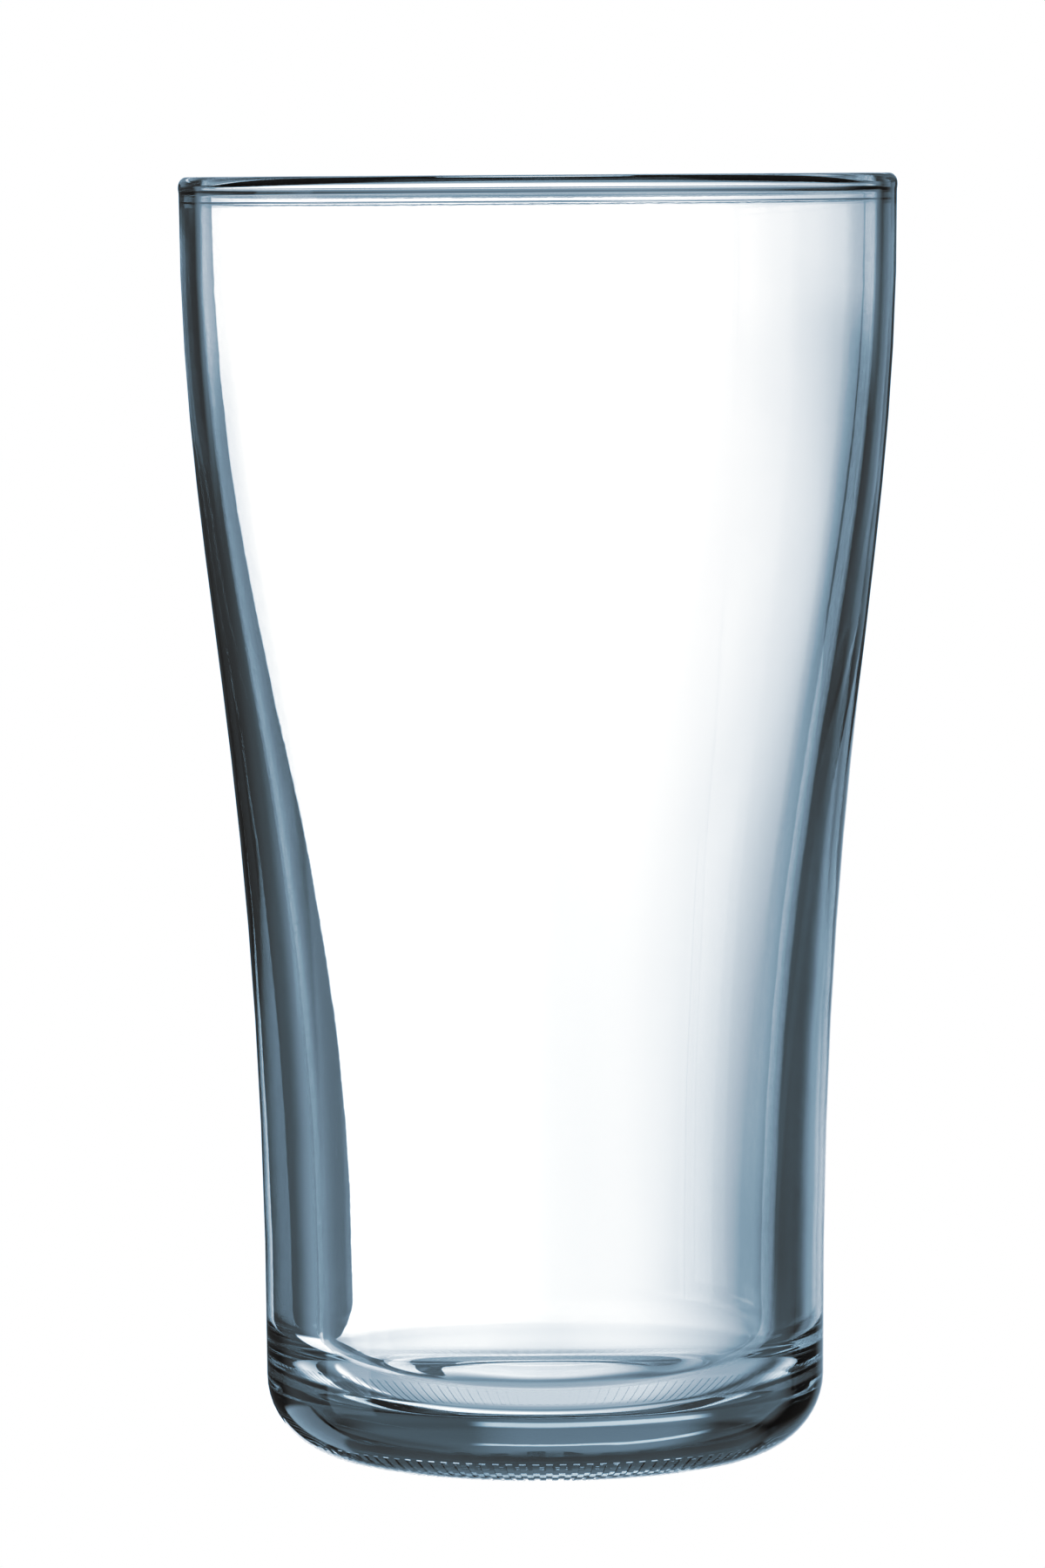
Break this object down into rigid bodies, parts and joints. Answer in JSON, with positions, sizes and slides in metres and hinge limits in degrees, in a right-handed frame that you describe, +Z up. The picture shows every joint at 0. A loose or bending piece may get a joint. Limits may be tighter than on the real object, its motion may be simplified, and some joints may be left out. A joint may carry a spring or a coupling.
{
  "type": "pint glass",
  "caption": "Clear toughened-glass pint tumbler: straight thick-walled foot with a rounded heel, wall flaring to a fire-polished beaded rim, shallow hollow under the base.",
  "frame": {"origin": "centre of the plane that the glass stands on", "axes": "+Z up along the glass's axis of revolution, from the foot to the rim; X and Y are equivalent"},
  "size_m": [0.0884, 0.0884, 0.1581],
  "materials": {
    "glass": "clear toughened soda-lime glass, fire polished, faintly blue-grey in the thick"
  },
  "bodies": {
    "root": {"tumbler": "glass"}
  },
  "joints": []
}
